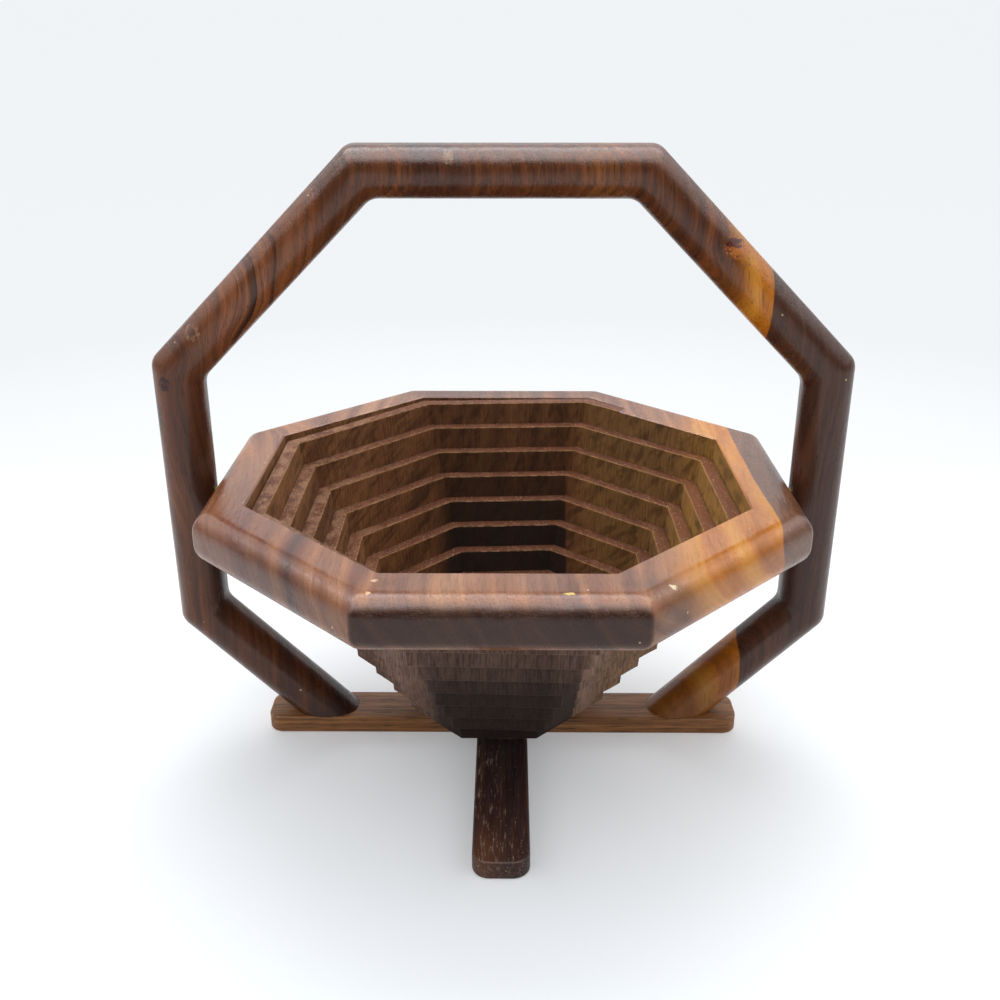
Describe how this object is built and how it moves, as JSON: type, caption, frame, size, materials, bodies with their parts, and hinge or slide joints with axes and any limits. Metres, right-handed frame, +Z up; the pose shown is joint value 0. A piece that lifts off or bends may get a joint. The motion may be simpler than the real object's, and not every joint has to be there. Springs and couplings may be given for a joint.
{
  "type": "collapsible wooden basket",
  "caption": "Octagonal wooden basket whose spiral-cut coil drops open or folds flat, hung on pins in an upright octagonal handle frame on crossed feet.",
  "frame": {"origin": "on the floor, under the middle of the pivot axis", "axes": "+Z up, +X to the right along the pivot axis, +Y to the back"},
  "size_m": [0.3, 0.252, 0.2704],
  "materials": {
    "frame_wood": "satin lacquered walnut with dark streaks and a patch of golden sapwood",
    "rim_wood": "satin lacquered walnut with golden sapwood on the right",
    "coil_wood": "sawn walnut, matt, with fine saw marks",
    "foot_bar_wood": "open-pored mid-brown wood, thinly oiled",
    "cross_foot_wood": "very dark red-brown wood, thinly oiled",
    "dowel_wood": "pale dowel, bare",
    "screw_steel": "zinc-plated screw"
  },
  "bodies": {
    "stand": {"handle_frame": "frame_wood", "foot_bar": "foot_bar_wood", "cross_foot": "cross_foot_wood", "leg_screw_left": "screw_steel", "leg_screw_right": "screw_steel", "lap_screw": "screw_steel", "pivot_pin_left": "dowel_wood", "pivot_pin_right": "dowel_wood"},
    "bowl": {"rim": "rim_wood", "coil_turn_1": "coil_wood"},
    "turn_2": {"coil_turn_2": "coil_wood"},
    "turn_3": {"coil_turn_3": "coil_wood"},
    "turn_4": {"coil_turn_4": "coil_wood"},
    "turn_5": {"coil_turn_5": "coil_wood"},
    "turn_6": {"coil_turn_6": "coil_wood"},
    "turn_7": {"coil_turn_7": "coil_wood"},
    "turn_8": {"coil_turn_8": "coil_wood"},
    "turn_9": {"coil_turn_9": "coil_wood"},
    "bottom": {"basket_bottom": "coil_wood"}
  },
  "joints": [
    {"name": "bowl_tilt", "type": "hinge", "parent": "stand", "child": "bowl", "pos_m": [0, 0, 0.1204], "axis": [1, 0, 0], "range_deg": [-58, 58]},
    {"name": "turn_2_slide", "type": "slide", "parent": "bowl", "child": "turn_2", "axis": [0, 0, 1], "range_m": [0, 0.01085]},
    {"name": "turn_3_slide", "type": "slide", "parent": "turn_2", "child": "turn_3", "axis": [0, 0, 1], "range_m": [0, 0.01085]},
    {"name": "turn_4_slide", "type": "slide", "parent": "turn_3", "child": "turn_4", "axis": [0, 0, 1], "range_m": [0, 0.01085]},
    {"name": "turn_5_slide", "type": "slide", "parent": "turn_4", "child": "turn_5", "axis": [0, 0, 1], "range_m": [0, 0.01085]},
    {"name": "turn_6_slide", "type": "slide", "parent": "turn_5", "child": "turn_6", "axis": [0, 0, 1], "range_m": [0, 0.01085]},
    {"name": "turn_7_slide", "type": "slide", "parent": "turn_6", "child": "turn_7", "axis": [0, 0, 1], "range_m": [0, 0.01085]},
    {"name": "turn_8_slide", "type": "slide", "parent": "turn_7", "child": "turn_8", "axis": [0, 0, 1], "range_m": [0, 0.01085]},
    {"name": "turn_9_slide", "type": "slide", "parent": "turn_8", "child": "turn_9", "axis": [0, 0, 1], "range_m": [0, 0.01085]},
    {"name": "bottom_slide", "type": "slide", "parent": "turn_9", "child": "bottom", "axis": [0, 0, 1], "range_m": [0, 0.00543]}
  ],
  "couplings": [
    {"joint": "turn_3_slide", "follows": "turn_2_slide", "ratio": 1},
    {"joint": "turn_4_slide", "follows": "turn_2_slide", "ratio": 1},
    {"joint": "turn_5_slide", "follows": "turn_2_slide", "ratio": 1},
    {"joint": "turn_6_slide", "follows": "turn_2_slide", "ratio": 1},
    {"joint": "turn_7_slide", "follows": "turn_2_slide", "ratio": 1},
    {"joint": "turn_8_slide", "follows": "turn_2_slide", "ratio": 1},
    {"joint": "turn_9_slide", "follows": "turn_2_slide", "ratio": 1},
    {"joint": "bottom_slide", "follows": "turn_2_slide", "ratio": 0.5}
  ]
}
